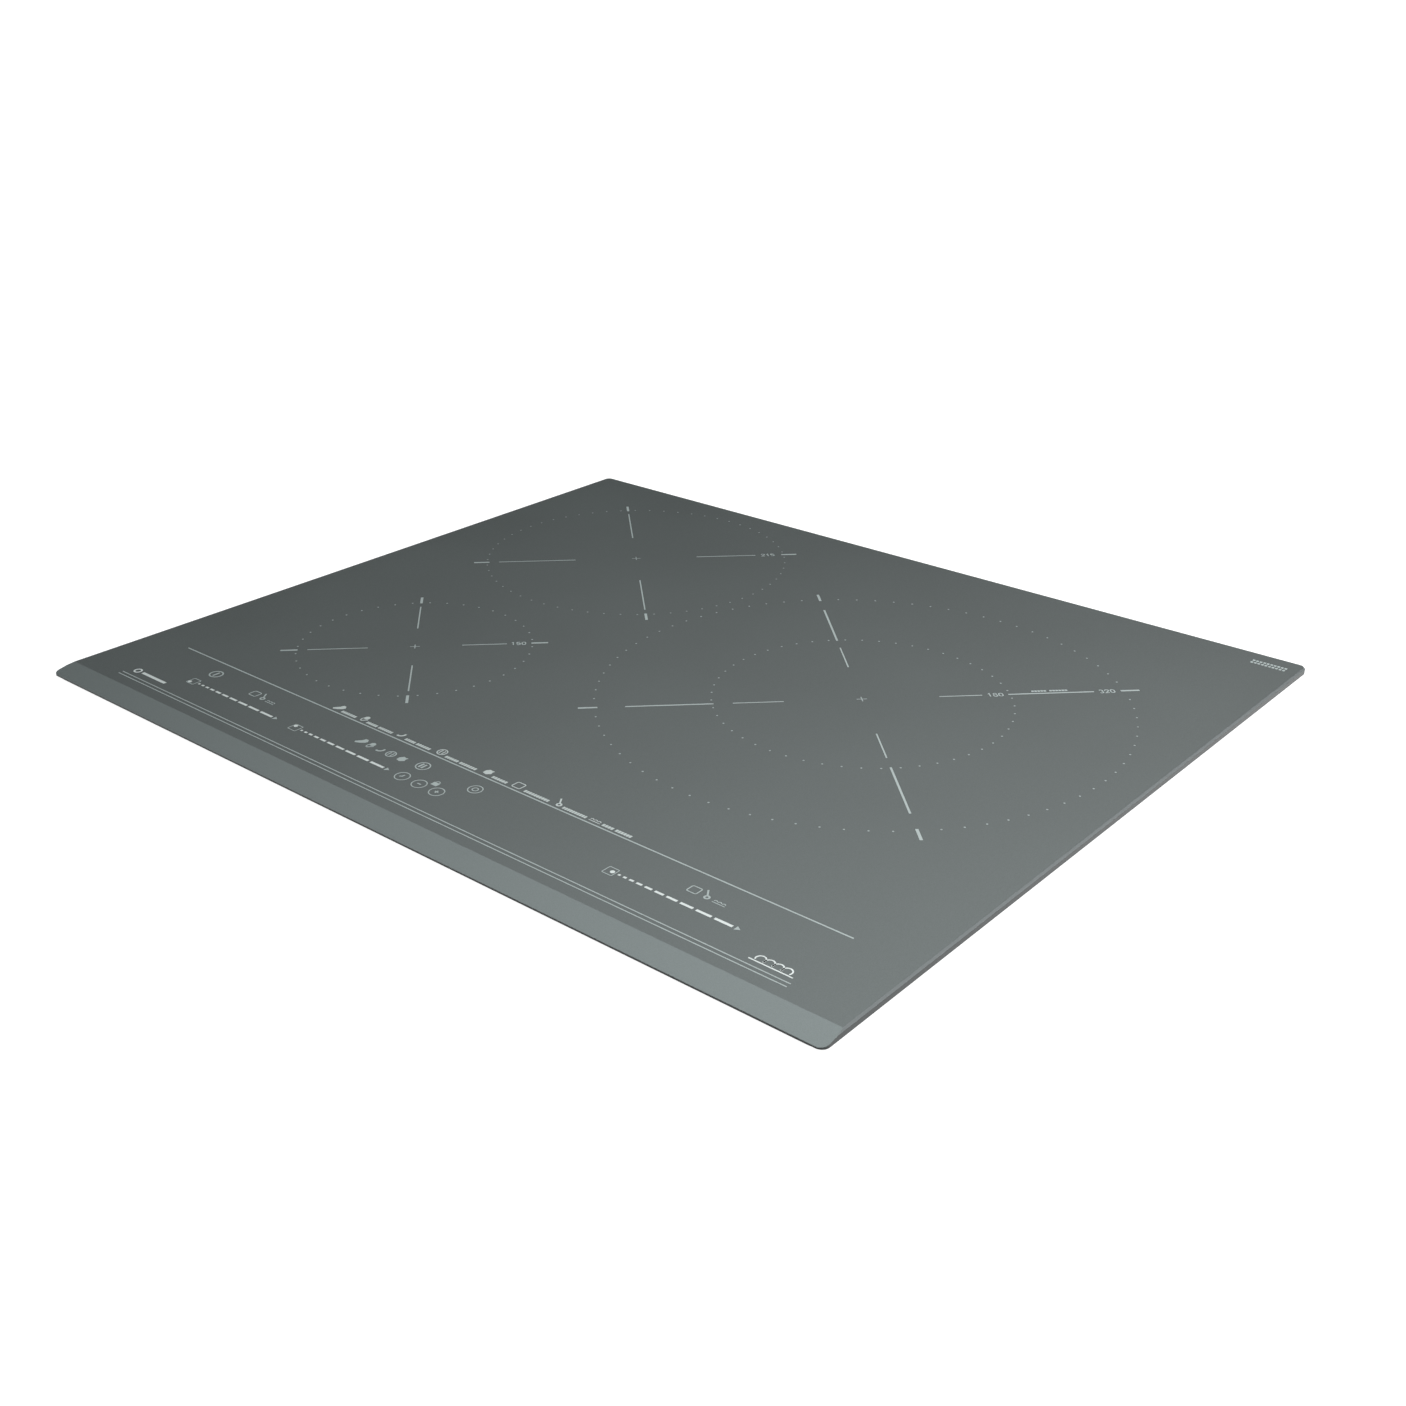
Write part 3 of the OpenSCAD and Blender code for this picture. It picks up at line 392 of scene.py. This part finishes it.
def slot_materials():
    """One finished material for each material slot of the record."""
    return {
        "glass": glass_material(),
        "foam": foam_material(),
        "silicone": plastic_material("silicone", (0.02, 0.02, 0.022), 0.45, 700),
        "galvanised_steel": galvanised_material(),
        "screw_steel": brushed_material("zinc_screw", (0.62, 0.62, 0.6), 0.32),
        "sheet_aluminium": brushed_material("rolled_aluminium", (0.72, 0.73, 0.74), 0.34),
        "heat_sink_aluminium": brushed_material("extruded_aluminium", (0.74, 0.75, 0.76), 0.4, (40, 1, 40)),
        "spring_steel": brushed_material("spring_steel", (0.6, 0.61, 0.63), 0.28),
        "clamp_steel": brushed_material("zinc_plate", (0.6, 0.62, 0.6), 0.36, (40, 1, 40)),
        "natural_nylon": plastic_material("natural_nylon", (0.62, 0.6, 0.54), 0.42),
        "lead_sleeve": plastic_material("lead_sleeve", (0.42, 0.03, 0.02), 0.5, 900),
        "ribbon": ribbon_material(),
        "copper_litz": litz_material("copper_litz", (0.58, 0.22, 0.09)),
        "ferrite": plastic_material("ferrite", (0.035, 0.036, 0.04), 0.6, 900, 0.05),
        "mica": plastic_material("mica", (0.5, 0.46, 0.36), 0.55, 400, 0.08),
        "sensor_metal": brushed_material("sensor_cap", (0.6, 0.6, 0.62), 0.3),
        "sensor_silicone": plastic_material("sensor_silicone", (0.5, 0.1, 0.04), 0.55, 800),
        "circuit_board": board_material(),
        "black_plastic": plastic_material("black_plastic", (0.018, 0.018, 0.02), 0.45),
        "wheel_plastic": plastic_material("wheel_plastic", (0.05, 0.05, 0.055), 0.5),
        "component_epoxy": plastic_material("component_epoxy", (0.012, 0.012, 0.013), 0.5, 1800, 0.03),
        "capacitor_case": plastic_material("capacitor_case", (0.6, 0.4, 0.03), 0.35),
    }


def dress_cad_nodes():
    """Gives every CAD node its slot's material."""
    finishes = slot_materials()
    slots = {part["node"]: part["material_slot"] for part in frame["record"]["subparts"]}
    for node, obj in frame["nodes"].items():
        obj.data.materials.clear()
        obj.data.materials.append(finishes[slots[node]])


def round_edges(node, width_mm, segments, angle):
    """Rounds a CAD node's edges that are sharper than an angle in degrees."""
    bevel = frame["nodes"][node].modifiers.new("edge", "BEVEL")
    bevel.width = width_mm * MM
    bevel.segments = segments
    bevel.limit_method = "ANGLE"
    bevel.angle_limit = math.radians(angle)


# ------------------------------------------------------------------ printing on the glass

# The print starts just inside the glass and ends just above it, and its arcs have a point every 12 degrees
PRINT_SINK = 0.01
PRINT_RISE = 0.03
ARC_STEP = 12
FULL_CIRCLE = 360


def arc_points(x, y, r, start, end):
    """Points along a circle, from one angle to another in degrees."""
    steps = max(4, int(abs(end - start) / ARC_STEP))
    angles = [math.radians(start + (end - start) * i / steps) for i in range(steps + 1)]
    return [(x + r * math.cos(a), y + r * math.sin(a)) for a in angles]


class Print:
    """A printed layer on the glass: filled shapes and strokes, raised together into one thin mesh."""

    def __init__(self):
        self.verts = []
        self.faces = []

    def put(self, points, height):
        self.verts += [(p[0] * MM, p[1] * MM, (GLASS_TOP + height) * MM) for p in points]

    def shape(self, points):
        """A filled outline, given anticlockwise."""
        n, k = len(points), len(self.verts)
        self.put(points, -PRINT_SINK)
        self.put(points, PRINT_RISE)
        self.faces.append(tuple(range(k + n - 1, k - 1, -1)))
        self.faces.append(tuple(range(k + n, k + 2 * n)))
        self.faces += [(k + i, k + (i + 1) % n, k + n + (i + 1) % n, k + n + i) for i in range(n)]

    def disc(self, x, y, r, sides=FULL_CIRCLE // ARC_STEP):
        angles = [2 * math.pi * i / sides for i in range(sides)]
        self.shape([(x + r * math.cos(a), y + r * math.sin(a)) for a in angles])

    def stroke(self, points, width, closed=False):
        """A band of even width along a line of points, with mitred corners."""
        points = [Vector(p) for p in points]
        n, k = len(points), len(self.verts)
        left, right = [], []
        for i, point in enumerate(points):
            before = points[i - 1] if i or closed else None
            after = points[(i + 1) % n] if i < n - 1 or closed else None
            spans = [(a, b) for a, b in ((before, point), (point, after)) if a is not None and b is not None]
            ways = [(b - a).normalized() for a, b in spans]
            sides = [Vector((-w.y, w.x)) for w in ways]
            middle = sum(sides, Vector((0, 0))).normalized()
            reach = width / 2 / max(0.5, middle.dot(sides[0]))
            left.append(point + middle * reach)
            right.append(point - middle * reach)
        self.put(left, -PRINT_SINK)
        self.put(right, -PRINT_SINK)
        self.put(right, PRINT_RISE)
        self.put(left, PRINT_RISE)
        for i in range(n if closed else n - 1):
            j = (i + 1) % n
            for lane in range(4):
                a, b = k + lane * n, k + (lane + 1) % 4 * n
                self.faces.append((a + i, a + j, b + j, b + i))
        if not closed:
            self.faces.append(tuple(k + lane * n for lane in range(4)))
            self.faces.append(tuple(k + lane * n + n - 1 for lane in (3, 2, 1, 0)))

    def line(self, a, b, width):
        self.stroke([a, b], width)

    def ring(self, x, y, r, width):
        self.stroke(arc_points(x, y, r, 0, FULL_CIRCLE)[:-1], width, closed=True)

    def arc(self, x, y, r, width, start, end):
        self.stroke(arc_points(x, y, r, start, end), width)

    def blocks(self, a, b, height, pitch=1.75, gap=0.35):
        """A run of plain blocks from a to b, where lettering would stand."""
        a, b = Vector(a), Vector(b)
        length, way = (b - a).length, (b - a).normalized()
        count = round(length / pitch)
        step = (length + gap) / count
        for i in range(count):
            self.line(a + way * (i * step), a + way * ((i + 1) * step - gap), height)

    def frame(self, x, y, half_w, half_h, r, width):
        """The outline of a rectangle with round corners."""
        points = []
        for sx, sy, start in ((1, 1, 0), (-1, 1, 90), (-1, -1, 180), (1, -1, 270)):
            points += arc_points(x + sx * (half_w - r), y + sy * (half_h - r), r, start, start + 90)
        self.stroke(points, width, closed=True)

    def cross(self, x, y, arm, width, angle=0.0):
        """Two crossing bars as one outline."""
        w, points = width / 2, []
        for quarter in range(4):
            turn = math.radians(angle + 90 * quarter)
            c, s = math.cos(turn), math.sin(turn)
            for px, py in ((arm, -w), (arm, w), (w, w)):
                points.append((x + px * c - py * s, y + px * s + py * c))
        self.shape(points)

    def make(self, name, material):
        mesh = bpy.data.meshes.new(name)
        mesh.from_pydata(self.verts, [], self.faces)
        mesh.materials.append(material)
        piece = bpy.data.objects.new(name, mesh)
        bpy.context.collection.objects.link(piece)
        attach(piece, ROOT)


# Pen paths of the numerals that the zones need, in a cell 0.6 wide and 1 high: points, and whether they close
NUMERALS = {
    "0": [(arc_points(0.3, 0.7, 0.27, 0, 180) + arc_points(0.3, 0.3, 0.27, 180, 360), True)],
    "1": [([(0.12, 0.78), (0.34, 1.0), (0.34, 0.0)], False)],
    "2": [(arc_points(0.3, 0.73, 0.27, 180, -30) + [(0.04, 0.0), (0.58, 0.0)], False)],
    "3": [(arc_points(0.28, 0.75, 0.24, 150, -75), False), (arc_points(0.28, 0.26, 0.27, 75, -150), False)],
    "5": [([(0.55, 1.0), (0.1, 1.0), (0.06, 0.55)] + arc_points(0.28, 0.31, 0.3, 120, -140), False)],
    "8": [(arc_points(0.3, 0.76, 0.22, 0, 360)[:-1], True), (arc_points(0.3, 0.26, 0.28, 0, 360)[:-1], True)],
}
NUMERAL_CELL = 0.6
NUMERAL_PITCH = 0.82


def numerals(layer, text, centre, height, angle, width):
    """Writes a number whose middle is at centre and whose line runs at angle."""
    turn = math.radians(angle)
    along, up = Vector((math.cos(turn), math.sin(turn))), Vector((-math.sin(turn), math.cos(turn)))
    start = -((len(text) - 1) * NUMERAL_PITCH + NUMERAL_CELL) / 2
    for i, character in enumerate(text):
        corner = Vector(centre) + (along * (start + i * NUMERAL_PITCH) - up * 0.5) * height
        for points, closed in NUMERALS[character]:
            layer.stroke([corner + (along * x + up * y) * height for x, y in points], width, closed)


# Zone marks: line widths, dots, and the arm that carries the numbers
DOT_R = 0.6
DOT_SIDES = 10
ARM_GAP = 2
THIN = 0.85
THICK = 1.25
TICK = 1.7
CROSS_ARM = 3.1
CROSS_W = 0.7
NUMERAL_HEIGHT = 4.2
NUMERAL_W = 0.7
NUMBER_ARM = 45
DIAGONALS = (45, 135, 225, 315)


def polar(centre, r, angle):
    """The point at a radius and an angle in degrees from a centre."""
    a = math.radians(angle)
    return (centre.x + r * math.cos(a), centre.y + r * math.sin(a))


def dotted_ring(layer, centre, r, count, offset=0.0):
    """A ring of dots, left open where the diagonal arms cross it."""
    for i in range(count):
        angle = offset + i * FULL_CIRCLE / count
        to_arm = min(abs((angle - d + 180) % FULL_CIRCLE - 180) for d in DIAGONALS)
        if to_arm * math.radians(r) > ARM_GAP:
            layer.disc(*polar(centre, r, angle), DOT_R, DOT_SIDES)


def arm(layer, centre, angle, r0, r1, width):
    layer.line(polar(centre, r0, angle), polar(centre, r1, angle), width)


def zone_number(layer, centre, text, r):
    numerals(layer, text, polar(centre, r, NUMBER_ARM), NUMERAL_HEIGHT, NUMBER_ARM, NUMERAL_W)


def print_zone(name, material, dot_material, centre, ring_r, dots, offset, line, tick, number):
    """A zone with one ring: four diagonal arms, each a thin line and a short thick tick across the ring.

    line and tick hold the radii where each part of an arm starts and ends. number holds the zone's diameter
    as text, the radius where it stands, and the radius where the line of its arm ends.
    """
    text, text_r, line_end = number
    ring = Print()
    dotted_ring(ring, centre, ring_r, dots, offset)
    ring.cross(centre.x, centre.y, CROSS_ARM, CROSS_W, 45)
    ring.make(name + "_dots", dot_material)
    layer = Print()
    for angle in DIAGONALS:
        end = line_end if angle == NUMBER_ARM else line[1]
        arm(layer, centre, angle, line[0], end, THIN)
        arm(layer, centre, angle, *tick, TICK)
    zone_number(layer, centre, text, text_r)
    layer.make(name, material)


def print_dual_zone(name, material, dot_material, centre):
    """The zone with two rings, whose arms run on between them, and two runs of blocks beside one arm.

    The numbers of an arm's parts are the radii where each starts and ends.
    """
    rings = Print()
    dotted_ring(rings, centre, 90, 52)
    dotted_ring(rings, centre, 160, 80)
    rings.cross(centre.x, centre.y, CROSS_ARM, CROSS_W, 45)
    rings.make(name + "_dots", dot_material)
    layer = Print()
    for angle in DIAGONALS:
        arm(layer, centre, angle, 47, 73 if angle == NUMBER_ARM else 77.5, THIN)
        arm(layer, centre, angle, 89, 141.5, THICK)
        arm(layer, centre, angle, 158, 169.5, TICK)
    zone_number(layer, centre, "180", 81)
    zone_number(layer, centre, "320", 149.5)
    beside = Vector(polar(centre, 118, NUMBER_ARM)) + Vector((-2.3, 2.3))
    along = Vector((1, 1)).normalized()
    layer.blocks(beside - along * 14, beside - along * 5, 1.9)
    layer.blocks(beside - along * 3, beside + along * 8, 1.9)
    layer.make(name, material)


# Controls, as distances from the glass panel's front edge and from its middle line
RULE_HALF = 258
REAR_RULE = 74.2
REAR_RULE_W = 0.9
FRONT_RULES = (23.3, 26.2)
FRONT_RULE_W = 0.65
UPPER_ROW = 61.2
ICON_ROW = 59.4
LOWER_ROW = 45.8
LABEL_ROW = 77.4
UPPER_KEY_R = 4.15
LOWER_KEY_R = 4.35
ICON_LINE = 0.6
MARK_ROW = 32.8


def row(distance):
    return FRONT + distance


def print_rules(material):
    """The long lines behind and in front of the controls."""
    layer = Print()
    for distance, width in ((REAR_RULE, REAR_RULE_W), *((d, FRONT_RULE_W) for d in FRONT_RULES)):
        layer.line((-RULE_HALF, row(distance)), (RULE_HALF, row(distance)), width)
    layer.make("print_rules", material)


def slider_steps(start, end, count=10):
    """Left and right ends of a slider's dashes, each longer than the one before."""
    lengths = [1.5 + 0.5 * i + 0.06 * i * i for i in range(count)]
    gap = (end - start - sum(lengths)) / (count - 1)
    x, steps = start, []
    for length in lengths:
        steps.append((x, x + length))
        x += length + gap
    return steps


def print_slider(name, material, soft, start, end, dot):
    """Growing dashes from low to high, with a zone locator before them and a small arrow head behind.

    dot is the place of the locator's dot, from the middle of its frame.
    """
    dashes = Print()
    y = row(LOWER_ROW)
    for i, (a, b) in enumerate(slider_steps(start, end)):
        dashes.line((a, y), (b, y), 1.35 + 0.04 * i)
    box_x = start - 5.0
    dashes.disc(box_x + dot[0], y + dot[1], 1.3)
    dashes.make(name, material)
    marks = Print()
    marks.frame(box_x, y, 3.2, 3.2, 0.6, 0.45)
    marks.shape([(end + 1.8, y - 1.7), (end + 4.6, y), (end + 1.8, y + 1.7)])
    marks.make(name + "_ends", soft)


def key_on(layer, x, y):
    layer.line((x, y - 2.7), (x, y + 2.7), 1.2)


def key_pause(layer, x, y):
    for dx in (-1.5, 0.7):
        layer.line((x + dx, y - 2.3), (x + dx, y + 2.3), 1.2)


def key_target(layer, x, y):
    layer.ring(x, y, 1.7, ICON_LINE)


def key_clock(layer, x, y):
    layer.stroke([(x + 0.1, y + 1.9), (x, y), (x - 1.5, y - 0.9)], 0.8)


def key_minus(layer, x, y):
    layer.line((x - 1.3, y), (x + 1.3, y), 0.8)


def key_plus(layer, x, y):
    layer.cross(x, y, 1.3, 0.8)


# Each round key's place from the middle line, row, radius and line width, and the sign inside it
KEYS = [
    (-210.4, UPPER_ROW, UPPER_KEY_R, 0.9, key_on), (-21.2, UPPER_ROW, UPPER_KEY_R, 0.7, key_pause),
    (20.4, UPPER_ROW, UPPER_KEY_R, 0.6, key_target), (-20.8, LOWER_ROW, LOWER_KEY_R, 0.6, key_clock),
    (-7.2, LOWER_ROW, LOWER_KEY_R, 0.6, key_minus), (6.7, LOWER_ROW, LOWER_KEY_R, 0.6, key_plus),
]


def icon_lock(layer, x, y, s):
    """A padlock, drawn at a scale s."""
    left, right = x - 1.7 * s, x + 1.7 * s
    low, high = y - 2 * s, y + 0.6 * s
    layer.shape([(left, low), (right, low), (right, high), (left, high)])
    layer.arc(x, y + 0.7 * s, 1.1 * s, 0.5, 0, 180)


def print_keys(material):
    """The round keys, each a ring with its sign, and the padlock between them."""
    layer = Print()
    for x, distance, r, width, inside in KEYS:
        layer.ring(x, row(distance), r, width)
        inside(layer, x, row(distance))
    icon_lock(layer, -0.4, row(52.2), 1.25)
    layer.make("print_keys", material)


# Small generic pictograms, 6 to 8 mm across


def turned(x, y, points):
    """Points of an icon drawn upright, turned by 45 degrees about its middle and moved to its place."""
    c = s = math.sqrt(0.5)
    return [(x + px * c - py * s, y + px * s + py * c) for px, py in points]


def icon_window(layer, x, y):
    layer.frame(x, y - 0.2, 3.0, 2.8, 1.0, ICON_LINE)


def icon_spoon(layer, x, y):
    layer.line((x - 2.2, y + 4), (x + 0.6, y - 0.2), 0.9)
    layer.ring(x + 1.4, y - 1.6, 1.3, 1.0)


def icon_drops(layer, x, y):
    for k in range(3):
        layer.arc(x - 2.6 + k * 2.5, y - 1.8, 0.9, 0.5, 0, 180)
    layer.line((x - 4, y - 2.9), (x + 3.8, y - 2.9), 0.5)


def icon_leaf(layer, x, y):
    """A drop shape lying along the diagonal."""
    front = [(-4, -0.9), (-1, -2.0), (2, -2.3), (3.6, -1.6)]
    back = [(3.9, 0.9), (2.4, 2.2), (0.2, 1.0), (-3.9, 0.7)]
    layer.shape(turned(x, y, front + back))


def icon_lid(layer, x, y):
    layer.stroke(turned(x, y, [(-2.9, -1.4), (-2.2, 0.4), (-0.6, 1.5)]), 0.6)
    layer.line(*turned(x, y, [(-2.6, -1.9), (1.6, -1.9)]), 0.8)
    layer.disc(*turned(x, y, [(1.0, 0.8)])[0], 1.8)


def icon_bowl(layer, x, y):
    layer.arc(x - 0.6, y + 0.6, 2.7, 1.2, -112, 22)


def icon_grid(layer, x, y):
    layer.ring(x, y, 3.0, 0.7)
    for dx in (-1.1, 1.1):
        layer.line((x + dx, y - 1.8), (x + dx, y + 1.8), 0.7)


def icon_pot(layer, x, y):
    front = [(-3.2, 0.2), (-1.6, -2.3), (1.4, -2.5), (2.2, -0.9)]
    back = [(3.6, 0), (2.2, 1.1), (1.2, 2.5), (-1.4, 2.2)]
    layer.shape(turned(x, y, front + back))


# Each function's icon in front of the rear rule, and the three icons beside each outer slider
FUNCTION_ROW = [
    (-70.8, icon_leaf), (-62.7, icon_lid), (-54.6, icon_bowl), (-45.8, icon_grid), (-36.5, icon_pot),
]
SIDE_ICONS = [(-6.7, icon_window), (0.8, icon_spoon), (10.3, icon_drops)]
SIDE_ICON_PLACES = (-162.1, 182.0)

# Legend behind the rear rule: a pictogram, then one or two runs of plain blocks, from the middle line
LEGEND_RISE = 2.4
LEGEND = [
    (-115, icon_leaf, [(-110, -97.5)]), (-91.7, icon_lid, [(-87.5, -78.6), (-77, -65.5)]),
    (-60, icon_bowl, [(-54, -46), (-44.5, -33.5)]), (-25.8, icon_grid, [(-20.5, -10.5), (-9, 4)]),
    (11.3, icon_pot, [(16.8, 28)]), (35, icon_window, [(41.5, 59.5)]),
    (65, icon_spoon, [(70, 86.8)]), (93, icon_drops, [(98.3, 105.8), (107.5, 118.3)]),
]


def print_pictograms(material):
    layer = Print()
    for x, icon in FUNCTION_ROW:
        icon(layer, x, row(ICON_ROW))
    for place in SIDE_ICON_PLACES:
        for dx, icon in SIDE_ICONS:
            icon(layer, place + dx, row(ICON_ROW))
    layer.make("print_pictograms", material)


def print_legend(material):
    layer = Print()
    for x, icon, runs in LEGEND:
        icon(layer, x, row(LABEL_ROW) + LEGEND_RISE)
        for a, b in runs:
            layer.blocks((a, row(LABEL_ROW)), (b, row(LABEL_ROW)), 2.2)
    layer.make("print_legend", material)


# The corner mark's rows from the glass panel's rear edge, and its ends from the right edge
CORNER_ROWS = (16.2, 12.8)
CORNER_ENDS = (30, 8)


def print_generic_marks(material, soft):
    """A ring and a bar at the left of the front rules, and two rows of blocks in the rear right corner."""
    mark = Print()
    mark.ring(-251.5, row(MARK_ROW), 2.3, 1.1)
    mark.line((-246.5, row(MARK_ROW)), (-223, row(MARK_ROW)), 2.2)
    mark.make("print_front_mark", material)
    corner = Print()
    for distance in CORNER_ROWS:
        start, end = ((RIGHT - reach, REAR - distance) for reach in CORNER_ENDS)
        corner.blocks(start, end, 2.0, 2.3, 0.7)
    corner.make("print_corner_mark", soft)


def print_coil_sign(material):
    """A generic coil of four loops on a base line, at the right end of the front rules."""
    layer = Print()
    y = row(33)
    for k in range(4):
        layer.arc(236 + k * 5, y, 2.6, 0.8, -35, 215)
    layer.line((231, y - 2.6), (256, y - 2.6), 0.8)
    layer.make("print_coil_sign", material)


def print_all():
    """All the printing, from bright sliders to faint dots."""
    bright = print_material("print_white", (0.62, 0.66, 0.65))
    middle = print_material("print_silver", (0.46, 0.50, 0.49))
    soft = print_material("print_grey", (0.34, 0.38, 0.375))
    faint = print_material("print_faint", (0.20, 0.225, 0.222))
    dots = print_material("print_dots", (0.27, 0.30, 0.297))
    print_zone(
        "print_zone_front_left", soft, dots, ZONE_FRONT_LEFT,
        ring_r=75, dots=40, offset=4.5, line=(30, 68), tick=(74.3, 85), number=("150", 66, 58.5),
    )
    print_zone(
        "print_zone_rear_left", soft, faint, ZONE_REAR_LEFT,
        ring_r=107.5, dots=60, offset=0, line=(44, 99), tick=(106, 117), number=("215", 96, 87),
    )
    print_dual_zone("print_zone_right", soft, dots, ZONE_RIGHT)
    print_rules(soft)
    print_slider("print_slider_front_left", bright, soft, -207, -135, (-1.6, -1.6))
    print_slider("print_slider_rear_left", bright, soft, -108.3, -36.3, (-1.6, 1.6))
    print_slider("print_slider_right", bright, soft, 137.8, 209.6, (1.2, 0))
    print_keys(soft)
    print_pictograms(soft)
    print_legend(middle)
    print_generic_marks(bright, soft)
    print_coil_sign(bright)


# ------------------------------------------------------------------ the scene

bpy.context.scene.view_settings.view_transform = "Standard"
make_camera()
make_world()
make_floor()
make_area_light("key", KEY_PLACE, (0, 0, 0), KEY_SIZE, KEY_WATTS)
dress_cad_nodes()
round_edges("glass_panel", width_mm=0.25, segments=2, angle=25)
print_all()
